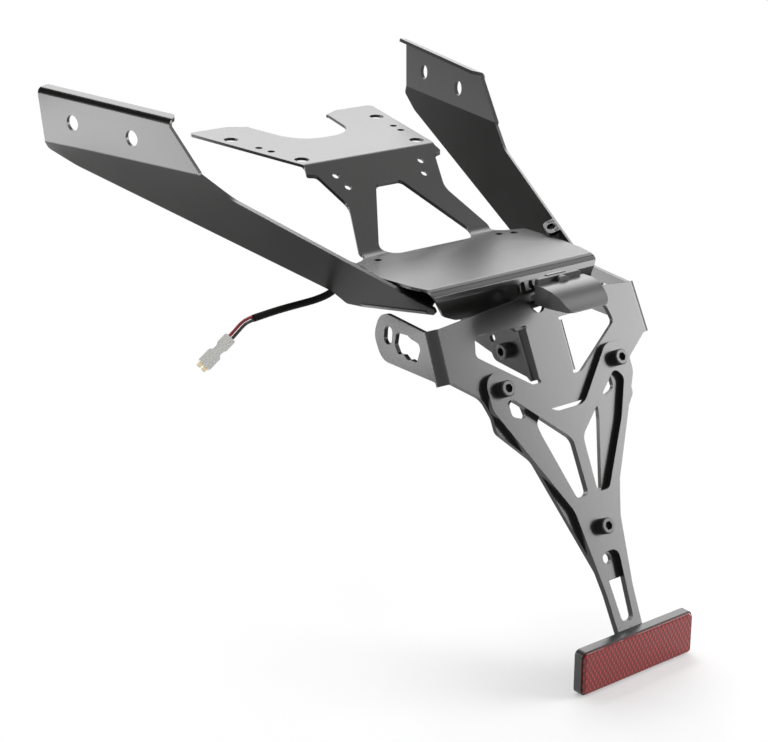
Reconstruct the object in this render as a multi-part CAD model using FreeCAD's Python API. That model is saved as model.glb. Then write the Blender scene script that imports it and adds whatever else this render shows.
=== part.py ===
import FreeCAD, Part
import math
import os

# Tail tidy: folded sheet brackets that carry the number plate, its lamp and a reflector behind a motorbike.
# Millimetres. X points right seen from behind, Y points forward, Z points up.
# Everything is drawn from a datum in the middle of the platform's rear bend. At the end it is moved
# so that the origin is the middle of the seat face, on top of the front plate.

V = FreeCAD.Vector

# Sheets
SEAT_SHEET = 2.0
ARM_SHEET = 2.5
HANGER_SHEET = 2.5
INDICATOR_SHEET = 3.0
CARRIER_SHEET = 4.0
LAMP_SHEET = 2.0
BEND_RADIUS = 2.5

# Seat bracket: front plate, sloping legs, platform and rear lip, from front to rear
SEAT_LENGTH = 101.8
SEAT_TILT = 3.85
LEG_DROP = 48.4
LEG_SLOPE = 37.7
PLATFORM_LENGTH = 82.1
LEG_FOOT_RADIUS = 14.0
LIP_SET = 6.1
LIP_DEPTH = 21.0
SEAT_HOLE = 10.0
SMALL_HOLE = 5.0
SEAT_HOLE_POINTS = ((62.5, 217.8), (48.6, 154.8))
SEAT_SMALL_POINTS = ((57.5, 191.8), (55.2, 180.6))
LEG_HOLE_POINTS = ((35.9, 134.4), (32.2, 125.9))
PLATFORM_HOLE_POINTS = ((61.0, 66.5), (51.0, 70.0))
SEAT_FACE_Y = 167.0

# Arms, right hand side: the bend line runs from its rear end to its front end
ARM_BEND_REAR = V(126.7, 158.2, 49.8)
ARM_BEND_FRONT = V(159.3, 301.2, 50.9)
ARM_LEAN = 2.2
ARM_BEND = 18.8
ARM_HEIGHT_FRONT = 36.5
ARM_HEIGHT_REAR = 32.0
ARM_HOLE = 11.0
ARM_HOLE_POINTS = ((117.0, -16.8), (60.2, -14.7))
FLANGE_WIDTH = 9.0
FLANGE_RISE = 8.0
FLANGE_BEND_RADIUS = 1.5
FLANGE_SQUARE = 4.5
FLANGE_OVERHANG = 3.0
FLANGE_REAR_START = 24.3
WEB_BEND = 105.0
FOOT_REACH = 21.0
ARM_TAB_LENGTH = 14.0
ARM_TAB_WIDTH = 11.0
ARM_TAB_HOLE = 6.0
ARM_TAB_START = -118.0
ARM_TAB_EDGE = ((-145.0, 55.5), (-23.0, 15.0))

# Indicator bracket and plate carrier: both lie along one plane that leans back
CARRIER_ORIGIN = V(0, -24.1, -15.7)
CARRIER_TILT = 25.2
CARRIER_SCREW_POINTS = {"left": (-47.2, 45.0), "right": (47.2, 45.0), "bottom": (0.0, 142.0)}
EAR_TOP = (85.3, 0.0)
EAR_DROP = 33.5
EAR_FLARE = 2.6
EAR_BEND_RADIUS = 3.0
EAR_SQUARE = 6.2
EAR_TURN_OUT = 2.8
LAMP_HOLE_S = -0.5
LOWEST_HOLE_S = 162.0
TAB_BEND_RADIUS = 1.0
LAMP_CABLE_HOLE = 12.0
LUG_TAB_X = 18.0
CARRIER_SLOT_TOP = 157.4
CARRIER_SLOT_BOTTOM = 201.5
CARRIER_LENGTH = 207.6
CARRIER_TAB_HALF = 10.1
CARRIER_TAB_MARGIN = 4.0

# Hanger bracket, and the pivot screws that hold the indicator bracket to it
HANGER_REAR = 4.0
HANGER_FRONT = 60.0
HANGER_SPARE_HOLE = (0.0, -41.0)
PIVOT_Y = -18.0
PIVOT_Z = -43.5

# Fasteners
M6_SHANK = 6.0
M6_HEAD = 10.0
M6_HEAD_HEIGHT = 6.0
M6_HEX = 5.0
M6_RIM_CHAMFER = 0.6
M6_NUT = 10.0
M6_NUT_HEIGHT = 5.0
M5_SHANK = 5.0
M5_NUT = 8.0
M5_NUT_HEIGHT = 4.0
M3_SHANK = 3.0
M3_HEAD = 5.6
M3_HEAD_HEIGHT = 1.9
M3_HEX = 2.0
M3_NUT = 5.5
M3_NUT_HEIGHT = 2.4
HOLE_CLEARANCE = 0.5
THREAD_FIT = 0.1
STUD_END = 2.0

# Studs under the platform
FOOT_STUD_POINTS = ((42.0, 16.0), (42.0, 46.0))
HANGER_STUD_POINTS = ((0.0, 18.0), (0.0, 46.0))

# Reflector
REFLECTOR_WIDTH = 94.0
REFLECTOR_HEIGHT = 28.8
REFLECTOR_ABOVE_FOLD = 1.5
HOUSING_DEPTH = 6.0
LENS_DEPTH = 2.5
LENS_MARGIN = 0.9
LENS_CHAMFER = 1.0

# Lamp
LAMP_HALF_WIDTH = 19.8
LAMP_WALL = 2.0
LAMP_BACK_Y = -43.0
LAMP_TOP = 4.4
LAMP_LENGTH = 27.5
LAMP_FLOOR = -7.4
COVER_HALF_WIDTH = 17.5
COVER_TOP = 7.4
COVER_DEPTH = 3.0
BOSS_DIAMETER = 11.0
LAMP_FIX_S = -12.8
LAMP_LEG_S = -7.2
SCREW_END_ROOM = 0.3
LAMP_BEND_RADIUS = 0.8
LAMP_SCREW_Z = 4.6
LAMP_BRACKET_HALF = 7.5
LAMP_NOSE = 9.0
LENS_FIT = 0.1
LENS_THICKNESS = 2.0
GROOVE_DEPTH = 0.5
GROOVE_WIDTH = 0.4
GROOVE_PITCH = 0.9
GROOVE_COUNT = 3

# Cable. Each route is listed from the lamp towards the connector
SLEEVE_DIAMETER = 4.7
WIRE_DIAMETER = 2.0
WIRE_SPACING = 2.3
CABLE_FIT = 0.1
CABLE_EXIT_Z = -4.4
CABLE_EXIT_WALL = 1.0
CLIP_AT = V(-61.0, 66.5, -6.6)
CLIP_WAY = V(-0.84, 0.54, 0)
CLIP_WALL = 1.5
CLIP_WIDTH = 3.0
CLIP_COLLAR = 8.0
SLEEVE_END = V(-137.0, 85.0, -25.6)
CONNECTOR_START = V(-154.4, 85.0, -34.8)
CONNECTOR_WAY = V(-21.6, 0, -14.8)
CONNECTOR_ACROSS = V(0.463, -0.571, -0.676)
CONNECTOR_LENGTH = 24.0
CONNECTOR_THICKNESS = 5.5
TERMINAL_WIDTH = 3.0
TERMINAL_GAP = 0.8
TERMINAL_THICKNESS = 2.4
TERMINAL_REACH = 2.6
TERMINAL_DEPTH = 6.0


def rounded(corners):
    """Closed outline through corners (point, radius), each corner rounded by a tangent arc of its radius."""
    arcs = []
    count = len(corners)
    for i, (point, radius) in enumerate(corners):
        back = (corners[i - 1][0] - point).normalize()
        ahead = (corners[(i + 1) % count][0] - point).normalize()
        half = back.getAngle(ahead) / 2
        if radius == 0 or half > math.radians(89.5):
            arcs.append((point, None, point))
            continue
        run = radius / math.tan(half)
        middle = (back + ahead).normalize()
        nearest = point + middle * (radius / math.sin(half) - radius)
        arcs.append((point + back * run, nearest, point + ahead * run))
    edges = []
    for i, (start, nearest, end) in enumerate(arcs):
        if nearest is not None:
            edges.append(Part.Arc(start, nearest, end).toShape())
        following = arcs[(i + 1) % count][0]
        if end.distanceToPoint(following) > 0.001:
            edges.append(Part.LineSegment(end, following).toShape())
    return Part.Wire(edges)


def mirrored(half):
    """Whole outline from its right half (x, y, radius), listed from the centre line round to the centre line."""
    left = [(-x, y, r) for x, y, r in reversed(half) if x > 0]
    return list(half) + left


def both_sides(points):
    """The points and their mirror images left of the centre line."""
    return [(side * x, y) for x, y in points for side in (1, -1)]


class Place:
    """A flat place in space: x and y run in it, and z stands out of it."""

    def __init__(self, origin, x_dir, y_dir):
        self.origin = origin
        self.x = V(x_dir).normalize()
        self.y = (y_dir - self.x * y_dir.dot(self.x)).normalize()
        self.z = self.x.cross(self.y)

    def at(self, x, y, z=0.0):
        return self.origin + self.x * x + self.y * y + self.z * z

    def face(self, corners, z=0.0):
        return Part.Face(rounded([(self.at(x, y, z), r) for x, y, r in corners]))

    def plate(self, corners, low, high):
        """Flat plate of the outline between two heights."""
        return self.face(corners, low).extrude(self.z * (high - low))

    def rod(self, x, y, diameter, low, high):
        return Part.makeCylinder(diameter / 2, high - low, self.at(x, y, low), self.z)

    def hexagon(self, x, y, across, low, high):
        """Hexagonal prism, measured across its flats."""
        reach = across / math.sqrt(3)
        corners = [(x + reach * math.cos(math.radians(60 * k)), y + reach * math.sin(math.radians(60 * k)), 0)
                   for k in range(6)]
        return self.plate(corners, low, high)


def bent_profile(path, thickness):
    """Side outline of a bent sheet: the path (y, z, inner bend radius) and the same path set off to its left."""
    points = [V(0, y, z) for y, z, r in path]
    ways = [(b - a).normalize() for a, b in zip(points, points[1:])]
    lefts = [V(0, -way.z, way.y) for way in ways]
    near = []
    far = []
    for i, (point, (y, z, radius)) in enumerate(zip(points, path)):
        before = lefts[max(i - 1, 0)]
        after = lefts[min(i, len(lefts) - 1)]
        step = (before + after) * (thickness / (1 + before.dot(after)))
        if i in (0, len(path) - 1):
            near.append((point, 0))
            far.append((point + step, 0))
            continue
        turns_left = before.cross(after).x > 0
        near.append((point, radius + thickness if turns_left else radius))
        far.append((point + step, radius if turns_left else radius + thickness))
    return rounded(near + far[::-1])


def bent_sheet(path, thickness, half_width):
    """Sheet bent across its width, between x = -half_width and half_width."""
    face = Part.Face(bent_profile(path, thickness))
    return face.extrude(V(2 * half_width, 0, 0)).translated(V(-half_width, 0, 0))


def fillet_fold(shape, start, end, radius):
    """Rounds each edge of the shape that runs along the line from start to end."""
    way = (end - start).normalize()
    chosen = []
    for edge in shape.Edges:
        if len(edge.Vertexes) != 2:
            continue
        ends = [vertex.Point for vertex in edge.Vertexes]
        off = [((p - start) - way * (p - start).dot(way)).Length for p in ends]
        if max(off) < 0.02 and edge.Length > 1.0:
            chosen.append(edge)
    return shape.makeFillet(radius, chosen)


def joined(pieces):
    """One solid out of pieces that meet or overlap."""
    return pieces[0].fuse(pieces[1:]).removeSplitter()


def mirror(shape):
    return shape.mirror(V(0, 0, 0), V(1, 0, 0))


def inner_corner(point, in_a, in_b, thickness):
    """Where the inner faces of two sheets meet that share an outer fold line through the point."""
    return point + (in_a + in_b) * (thickness / (1 + in_a.dot(in_b)))


def round_fold(body, start, end, in_a, in_b, thickness, radius):
    """Rounds a fold inside and outside, so that the sheet keeps its thickness round the bend."""
    body = fillet_fold(body, start, end, radius + thickness)
    inside = inner_corner(start, in_a, in_b, thickness)
    return fillet_fold(body, inside, inside + (end - start), radius)


def slot_corners(x, y, angle, length, width):
    """Rounded slot about (x, y), its long way at an angle in degrees from the x axis."""
    way = V(math.cos(math.radians(angle)), math.sin(math.radians(angle)), 0)
    side = V(-way.y, way.x, 0)
    corners = [V(x, y, 0) + way * (a * length / 2) + side * (b * width / 2)
               for a, b in ((-1, -1), (1, -1), (1, 1), (-1, 1))]
    return [(p.x, p.y, 0.49 * width) for p in corners]


PLAN = Place(V(0, 0, 0), V(1, 0, 0), V(0, 1, 0))
REAR_VIEW = Place(V(0, 0, 0), V(1, 0, 0), V(0, 0, 1))
tilt = math.radians(CARRIER_TILT)
LEAN = Place(CARRIER_ORIGIN, V(1, 0, 0), V(0, -math.sin(tilt), -math.cos(tilt)))
nodes = {}

# Seat bracket
seat_slope = math.tan(math.radians(SEAT_TILT))
bend_y = PLATFORM_LENGTH + LEG_DROP / math.tan(math.radians(LEG_SLOPE))
seat_front_y = bend_y + SEAT_LENGTH * math.cos(math.radians(SEAT_TILT))


def seat_height(y):
    return LEG_DROP + (y - bend_y) * seat_slope


seat_path = [
    (seat_front_y, seat_height(seat_front_y), 0),
    (bend_y, LEG_DROP, BEND_RADIUS),
    (PLATFORM_LENGTH, 0, LEG_FOOT_RADIUS),
    (0, 0, 1.0),
    (-0.51 * LIP_SET, -1.1, 1.0),
    (-0.86 * LIP_SET, -3.5, 1.0),
    (-LIP_SET, -7.0, 1.0),
    (-LIP_SET, -LIP_DEPTH, 0),
]
SEAT_PLAN = mirrored([
    (0, 192, 0),
    (23.2, 192, 25),
    (34.2, 237.6, 1.5),
    (33.0, 239.4, 1.0),
    (47.5, 246.6, 5),
    (79.2, 246.6, 4),
    (54.7, 143.2, 3),
    (56.9, 138.2, 1.2),
    (50.0, 137.0, 4),
    (40.4, 114.4, 9),
    (54.6, 85.5, 4),
    (53.0, 80.6, 4),
    (60.5, 74.8, 8),
    (74.0, 70.0, 2),
    (74.0, 38.0, 60),
    (70.9, 12.0, 12),
    (67.6, 0, 8),
    (67.6, -20, 0),
    (0, -20, 0),
])
SEAT_ARCH = mirrored([(0, 124.6, 0), (10.2, 124.6, 5), (38.4, 85.2, 5), (31.0, 74.3, 8), (0, 74.3, 0)])
LIP_OUTLINE = mirrored([(0, 20, 0), (80, 20, 0), (80, 0, 0), (68.3, -1.0, 0), (67.0, -4.0, 6), (60.0, -17.0, 5),
                        (50.0, -LIP_DEPTH, 12), (0, -LIP_DEPTH, 0)])


def seat_bracket():
    sheet = bent_sheet(seat_path, SEAT_SHEET, 95)
    sheet = sheet.common(PLAN.plate(SEAT_PLAN, -LIP_DEPTH - 5, 80))
    sheet = sheet.cut(PLAN.plate(SEAT_ARCH, -10, 60))
    rear = REAR_VIEW.plate(LIP_OUTLINE, -5, LIP_SET + 5)
    front = Part.makeBox(200, 300, 120, V(-100, 5, -40))
    sheet = sheet.common(joined([rear, front]))
    seat = Place(V(0, bend_y, LEG_DROP), V(1, 0, 0), V(0, 1, seat_slope))
    along = math.cos(math.radians(SEAT_TILT))
    for points, diameter in ((SEAT_HOLE_POINTS, SEAT_HOLE), (SEAT_SMALL_POINTS, SMALL_HOLE)):
        for x, y in both_sides(points):
            sheet = sheet.cut(seat.rod(x, (y - bend_y) / along, diameter, -6, 6))
    rise = math.tan(math.radians(LEG_SLOPE))
    leg = Place(V(0, PLATFORM_LENGTH, 0), V(1, 0, 0), V(0, 1, rise))
    for x, y in both_sides(LEG_HOLE_POINTS):
        sheet = sheet.cut(leg.rod(x, (y - PLATFORM_LENGTH) / math.cos(math.radians(LEG_SLOPE)), SMALL_HOLE, -6, 6))
    for x, y in both_sides(PLATFORM_HOLE_POINTS):
        sheet = sheet.cut(PLAN.rod(x, y, SMALL_HOLE, -8, 8))
    return sheet


nodes["seat_bracket"] = seat_bracket()

# Arms, drawn on the right and mirrored
arm_way = (ARM_BEND_FRONT - ARM_BEND_REAR).normalize()
arm_length = (ARM_BEND_FRONT - ARM_BEND_REAR).Length
arm_level_in = V(0, 0, 1).cross(arm_way).normalize()
arm_level_up = arm_way.cross(V(0, 0, 1).cross(arm_way)).normalize()
lean = math.radians(ARM_LEAN)
arm_down = arm_level_in * math.sin(lean) - arm_level_up * math.cos(lean)
ARM_PLATE = Place(ARM_BEND_REAR, arm_way, arm_down)
bend = math.radians(ARM_BEND)
ARM_STRIP = Place(ARM_BEND_REAR, arm_way, ARM_PLATE.y * math.cos(bend) + ARM_PLATE.z * math.sin(bend))
ARM_PLATE_CORNERS = [
    (0, 0, 0),
    (arm_length, 0, 0),
    (arm_length, -1.0, 0),
    (arm_length + FLANGE_OVERHANG, FLANGE_SQUARE - ARM_HEIGHT_FRONT, 0),
    (arm_length + FLANGE_OVERHANG, -ARM_HEIGHT_FRONT, 0),
    (FLANGE_REAR_START, -ARM_HEIGHT_REAR, 0),
    (FLANGE_REAR_START, FLANGE_SQUARE - ARM_HEIGHT_REAR, 0),
    (0, -1.0, 0),
]
FLANGE_FRONT = ARM_PLATE_CORNERS[4][:2]
FLANGE_REAR = ARM_PLATE_CORNERS[5][:2]
ARM_STRIP_CORNERS = [
    (arm_length, 0, 0),
    (arm_length, 1.0, 0),
    (145.4, 5.2, 4),
    (121.9, 14.7, 60),
    (-89.6, 70.3, 8),
    (-99.5, 77.4, 4),
    (-113.0, 76.8, 0),
    (-166.0, 69.5, 0),
    (-172.5, 68.6, 2),
    (-171.5, 64.4, 1.5),
    (-160.5, 61.6, 3),
    (-156.5, 60.0, 4),
    (-149.0, 58.4, 3),
    (*ARM_TAB_EDGE[0], 4),
    (*ARM_TAB_EDGE[1], 40),
    (0, 1.0, 0),
    (0, 0, 0),
]
WEB_FRONT = ARM_STRIP_CORNERS[6][:2]
WEB_REAR = ARM_STRIP_CORNERS[7][:2]


def arm():
    plate = ARM_PLATE.plate(ARM_PLATE_CORNERS, 0, ARM_SHEET)
    strip = ARM_STRIP.plate(ARM_STRIP_CORNERS, 0, ARM_SHEET)
    top_front = ARM_PLATE.at(*FLANGE_FRONT)
    top_rear = ARM_PLATE.at(*FLANGE_REAR)
    rise = math.radians(FLANGE_RISE)
    flange = Place(top_front, top_rear - top_front, ARM_PLATE.z * math.cos(rise) - ARM_PLATE.y * math.sin(rise))
    length = (top_rear - top_front).Length
    lip = flange.plate([(0, 0, 0), (length, 0, 0), (length, FLANGE_SQUARE, 0), (length - 4, FLANGE_WIDTH, 2),
                        (0, FLANGE_WIDTH, 2)], 0, ARM_SHEET)
    body = joined([plate, strip, lip, arm_foot()])
    body = round_fold(body, ARM_BEND_REAR, ARM_BEND_FRONT, ARM_PLATE.z, ARM_STRIP.z, ARM_SHEET, BEND_RADIUS)
    body = round_fold(body, top_front, top_rear, ARM_PLATE.z, flange.z, ARM_SHEET, FLANGE_BEND_RADIUS)
    body = joined([body, arm_tab()])
    for x, y in ARM_HOLE_POINTS:
        body = body.cut(ARM_PLATE.rod(x, y, ARM_HOLE, -6, 6))
    for x, y in FOOT_STUD_POINTS:
        body = body.cut(PLAN.rod(x, y, M5_SHANK + HOLE_CLEARANCE, -8, 0))
    return body


def arm_foot():
    """Web folded in from the strip's lower edge, and the flat foot that lies under the platform."""
    front = ARM_STRIP.at(*WEB_FRONT)
    rear = ARM_STRIP.at(*WEB_REAR)
    way = (rear - front).normalize()
    on = way.cross(ARM_STRIP.z)
    if on.dot(ARM_STRIP.y) < 0:
        on = -on
    fold = math.radians(WEB_BEND)
    web_way = on * math.cos(fold) + ARM_STRIP.z * math.sin(fold)
    web_in = ARM_STRIP.z * math.cos(fold) - on * math.sin(fold)
    level = -SEAT_SHEET - ARM_SHEET
    up = V(0, 0, 1)
    tops = [p + web_way * ((level - p.z) / web_way.z) for p in (front, rear)]
    web = Part.Face(Part.makePolygon([front, rear, tops[1], tops[0], front])).extrude(web_in * ARM_SHEET)
    inward = V(tops[0].x - FOOT_REACH, tops[0].y, level)
    inward_rear = V(tops[1].x - FOOT_REACH, tops[1].y, level)
    foot_outline = [(tops[0], 0), (tops[1], 0), (inward_rear, 6), (inward, 6)]
    foot = Part.Face(rounded(foot_outline)).extrude(up * ARM_SHEET)
    mitre = inner_corner(tops[0], web_in, up, ARM_SHEET)
    wedge_points = [tops[0], tops[0] + web_in * ARM_SHEET, mitre, tops[0] + up * ARM_SHEET, tops[0]]
    wedge = Part.Face(Part.makePolygon(wedge_points)).extrude(tops[1] - tops[0])
    body = joined([web, foot, wedge])
    body = fillet_fold(body, mitre, mitre + (tops[1] - tops[0]), ARM_SHEET)
    return body


def arm_tab():
    """Small tab with a hole, folded in from the strip's upper edge beside the platform."""
    (low_x, low_y), (high_x, high_y) = ARM_TAB_EDGE
    slope = (high_y - low_y) / (high_x - low_x)
    corner = ARM_STRIP.at(ARM_TAB_START, low_y + (ARM_TAB_START - low_x) * slope)
    along = ARM_STRIP.x + ARM_STRIP.y * slope
    tab = Place(corner, along, ARM_STRIP.z)
    outline = [(0, 0, 0), (ARM_TAB_LENGTH, 0, 0), (ARM_TAB_LENGTH, ARM_TAB_WIDTH, 4), (0, ARM_TAB_WIDTH, 4)]
    piece = tab.plate(outline, -ARM_SHEET, 0) if tab.z.z > 0 else tab.plate(outline, 0, ARM_SHEET)
    return piece.cut(tab.rod(ARM_TAB_LENGTH / 2, ARM_TAB_WIDTH / 2 + 1, ARM_TAB_HOLE, -5, 5))


nodes["right_arm"] = arm()
nodes["left_arm"] = mirror(nodes["right_arm"])

# Indicator bracket
flare = math.radians(EAR_FLARE)
ear_fold_end = (EAR_TOP[0] + EAR_DROP * math.sin(flare), EAR_TOP[1] + EAR_DROP * math.cos(flare))


def beside_fold(end, run):
    """Point on the face squarely beside an end of the ear's fold."""
    return (end[0] - run * math.cos(flare), end[1] + run * math.sin(flare))


FACE_OUTLINE = mirrored([
    (0, -15.6, 0),
    (10.3, -15.6, 4),
    (10.3, -6.2, 6),
    (*beside_fold(EAR_TOP, 7), 0),
    (*EAR_TOP, 0),
    (*ear_fold_end, 0),
    (*beside_fold(ear_fold_end, 7), 4),
    (61.0, 47.4, 13),
    (57.0, 60.0, 8),
    (57.1, 69.2, 6),
    (36.3, 91.4, 14),
    (10.2, 169.0, 6),
    (8.6, 175.3, 4),
    (0, 175.3, 0),
])
RELIEF_X = LUG_TAB_X - INDICATOR_SHEET - TAB_BEND_RADIUS - 0.6
FACE_WINDOW = [
    (LUG_TAB_X, 12.9, 0),
    (RELIEF_X, 12.9, 0.9),
    (RELIEF_X, 11.0, 0.9),
    (54.2, 9.8, 5),
    (57.4, 22.0, 4),
    (20.5, 46.9, 3),
    (RELIEF_X, 47.2, 0.9),
    (RELIEF_X, 45.0, 0.9),
    (LUG_TAB_X, 45.0, 0),
]
FACE_LOBE_WINDOW = [(42.6, 50.6, 3), (42.4, 62.5, 3.5), (31.5, 66.6, 2.5), (33.0, 57.5, 2.5)]
FACE_LEG_WINDOW = mirrored([(0, 64.2, 0), (16.0, 64.2, 8), (26.0, 69.6, 5), (24.0, 78.5, 10), (9.6, 123.0, 6),
                            (0, 123.0, 0)])
EAR_OUTLINE = [(0, 0, 0), (0, EAR_SQUARE, 2), (-20.5, 41.5, 10), (-8.0, 53.0, 12), (8.5, 51.0, 12),
               (EAR_DROP - 3, EAR_SQUARE, 2), (EAR_DROP, EAR_SQUARE, 0), (EAR_DROP, 0, 0)]
EAR_SLOT = (-4.8, 39.5, 25, 11.5, 7.5)
EAR_KEY = [(1.7, 35.4, 2.5), (-5.0, 31.2, 2.5), (-1.2, 21.6, 1.5), (1.4, 19.2, 1.0), (5.8, 12.9, 3), (9.4, 13.0, 3),
           (16.4, 18.9, 2), (13.4, 23.4, 1), (13.0, 26.6, 1), (9.4, 29.0, 1.2), (7.8, 34.4, 2)]
TAB_OUTLINE = [(12.9, 0, 0), (12.9, 4.2, 1), (15.9, 34.2, 6), (26.2, 32.6, 6), (41.6, 6.5, 3), (45.0, 4.2, 0),
               (45.0, 0, 0)]
pivot = V(0, PIVOT_Y, PIVOT_Z) - LEAN.origin
PIVOT_POINT = (pivot.dot(LEAN.y), pivot.dot(LEAN.z))
ear_way = LEAN.z + LEAN.x * math.tan(math.radians(EAR_TURN_OUT))
EAR = Place(LEAN.at(*EAR_TOP), LEAN.at(*ear_fold_end) - LEAN.at(*EAR_TOP), ear_way)


def indicator_bracket():
    face = LEAN.plate(FACE_OUTLINE, 0, INDICATOR_SHEET)
    ear_in = EAR.z if EAR.z.x < 0 else -EAR.z
    low, high = (0, INDICATOR_SHEET) if EAR.z.x < 0 else (-INDICATOR_SHEET, 0)
    ear = EAR.plate(EAR_OUTLINE, low, high)
    ear = ear.cut(EAR.plate(slot_corners(*EAR_SLOT), -5, 5)).cut(EAR.plate(EAR_KEY, -5, 5))
    body = joined([face, ear, mirror(ear)])
    ends = [LEAN.at(*EAR_TOP), LEAN.at(*ear_fold_end)]
    body = round_fold(body, ends[0], ends[1], LEAN.z, ear_in, INDICATOR_SHEET, EAR_BEND_RADIUS)
    ends = [V(-p.x, p.y, p.z) for p in ends]
    body = round_fold(body, ends[0], ends[1], LEAN.z, V(-ear_in.x, ear_in.y, ear_in.z), INDICATOR_SHEET,
                      EAR_BEND_RADIUS)
    for side in (1, -1):
        tab_place = Place(LEAN.at(side * LUG_TAB_X, 0), LEAN.y, LEAN.z)
        tab = tab_place.plate(TAB_OUTLINE, *((-INDICATOR_SHEET, 0) if side > 0 else (0, INDICATOR_SHEET)))
        tab = tab.cut(tab_place.rod(*PIVOT_POINT, M6_SHANK + HOLE_CLEARANCE, -5, 5))
        window = [(side * x, y, r) for x, y, r in FACE_WINDOW]
        lobe = [(side * x, y, r) for x, y, r in FACE_LOBE_WINDOW]
        body = body.cut(LEAN.plate(window, -5, 8)).cut(LEAN.plate(lobe, -5, 8))
        body = joined([body, tab])
        start = LEAN.at(side * LUG_TAB_X, TAB_OUTLINE[0][0])
        end = LEAN.at(side * LUG_TAB_X, TAB_OUTLINE[-1][0])
        body = round_fold(body, start, end, LEAN.z, V(-side, 0, 0), INDICATOR_SHEET, TAB_BEND_RADIUS)
    body = body.cut(LEAN.plate(FACE_LEG_WINDOW, -5, 8))
    body = body.cut(LEAN.rod(0, LAMP_HOLE_S, LAMP_CABLE_HOLE, -5, 8))
    body = body.cut(LEAN.rod(0, LAMP_FIX_S, M3_SHANK + HOLE_CLEARANCE, -5, 8))
    body = body.cut(LEAN.rod(0, LOWEST_HOLE_S, M6_SHANK + HOLE_CLEARANCE, -5, 8))
    for x, y in CARRIER_SCREW_POINTS.values():
        body = body.cut(LEAN.rod(x, y, M6_SHANK + HOLE_CLEARANCE, -5, 8))
    return body


nodes["indicator_bracket"] = indicator_bracket()

# Plate carrier
CARRIER_OUTLINE = mirrored([
    (0, 66.6, 0),
    (12.3, 66.6, 12),
    (41.9, 34.1, 10),
    (58.5, 34.1, 9),
    (58.5, 55.8, 12),
    (18.0, 128.0, 20),
    (11.2, 182.0, 40),
    (CARRIER_TAB_HALF, CARRIER_LENGTH, 0),
    (0, CARRIER_LENGTH, 0),
])
CARRIER_WINDOW = [(43.5, 50.7, 4), (49.8, 57.6, 5), (39.0, 81.0, 60), (13.8, 121.0, 5), (3.8, 121.0, 4),
                  (4.2, 85.4, 9)]
CARRIER_SLOT = mirrored([(0, CARRIER_SLOT_TOP, 0), (7.6, CARRIER_SLOT_TOP, 5), (4.7, CARRIER_SLOT_BOTTOM, 3.5),
                         (0, CARRIER_SLOT_BOTTOM, 0)])
tab_face = LEAN.at(0, CARRIER_LENGTH, -CARRIER_SHEET)
reflector_top = tab_face.z + REFLECTOR_ABOVE_FOLD
reflector_middle = reflector_top - REFLECTOR_HEIGHT / 2
tab_end = reflector_top - REFLECTOR_HEIGHT + CARRIER_TAB_MARGIN


def plate_carrier():
    blade = LEAN.plate(CARRIER_OUTLINE, -CARRIER_SHEET, 0)
    outline = mirrored([(0, tab_face.z, 0), (CARRIER_TAB_HALF, tab_face.z, 0), (CARRIER_TAB_HALF - 1, tab_end, 3),
                        (0, tab_end, 0)])
    back = Place(V(0, tab_face.y, 0), V(1, 0, 0), V(0, 0, 1))
    tab = back.plate(outline, -CARRIER_SHEET, 0)
    body = joined([blade, tab])
    body = round_fold(body, tab_face, tab_face + V(1, 0, 0), LEAN.z, V(0, 1, 0), CARRIER_SHEET, BEND_RADIUS)
    for side in (1, -1):
        body = body.cut(LEAN.plate([(side * x, y, r) for x, y, r in CARRIER_WINDOW], -8, 5))
    body = body.cut(LEAN.plate(CARRIER_SLOT, -8, 5))
    body = body.cut(back.rod(0, reflector_middle, M5_SHANK + HOLE_CLEARANCE, -8, 5))
    for x, y in CARRIER_SCREW_POINTS.values():
        body = body.cut(LEAN.rod(x, y, M6_SHANK + HOLE_CLEARANCE, -8, 5))
    return body


nodes["plate_carrier"] = plate_carrier()

# Hanger bracket: a channel under the platform whose two sides reach down to the pivot screws
HANGER_HALF = LUG_TAB_X - INDICATOR_SHEET
HANGER_SIDE = [(HANGER_REAR, -SEAT_SHEET, 0), (HANGER_FRONT, -SEAT_SHEET, 0), (HANGER_FRONT, -9.0, 3),
               (22.0, -46.0, 12), (-14.0, -54.0, 8), (-28.0, -52.0, 7), (-26.0, -34.0, 8), (1.0, -25.0, 6),
               (HANGER_REAR, -16.0, 4)]


def hanger_bracket():
    base = Part.makeBox(2 * HANGER_HALF, HANGER_FRONT - HANGER_REAR, HANGER_SHEET,
                        V(-HANGER_HALF, HANGER_REAR, -SEAT_SHEET - HANGER_SHEET))
    right = Place(V(HANGER_HALF, 0, 0), V(0, 1, 0), V(0, 0, 1))
    side = right.plate(HANGER_SIDE, -HANGER_SHEET, 0)
    side = side.cut(right.rod(PIVOT_Y, PIVOT_Z, M6_SHANK + HOLE_CLEARANCE, -5, 5))
    side = side.cut(right.rod(*HANGER_SPARE_HOLE, SMALL_HOLE, -5, 5))
    body = joined([base, side, mirror(side)])
    for x in (HANGER_HALF, -HANGER_HALF):
        start = V(x, HANGER_REAR, -SEAT_SHEET)
        inward = V(-math.copysign(1, x), 0, 0)
        body = round_fold(body, start, start + V(0, 10, 0), V(0, 0, -1), inward, HANGER_SHEET, BEND_RADIUS)
    for x, y in HANGER_STUD_POINTS:
        body = body.cut(PLAN.rod(x, y, M5_SHANK + HOLE_CLEARANCE, -10, 0))
    return body


nodes["hanger_bracket"] = hanger_bracket()


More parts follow.
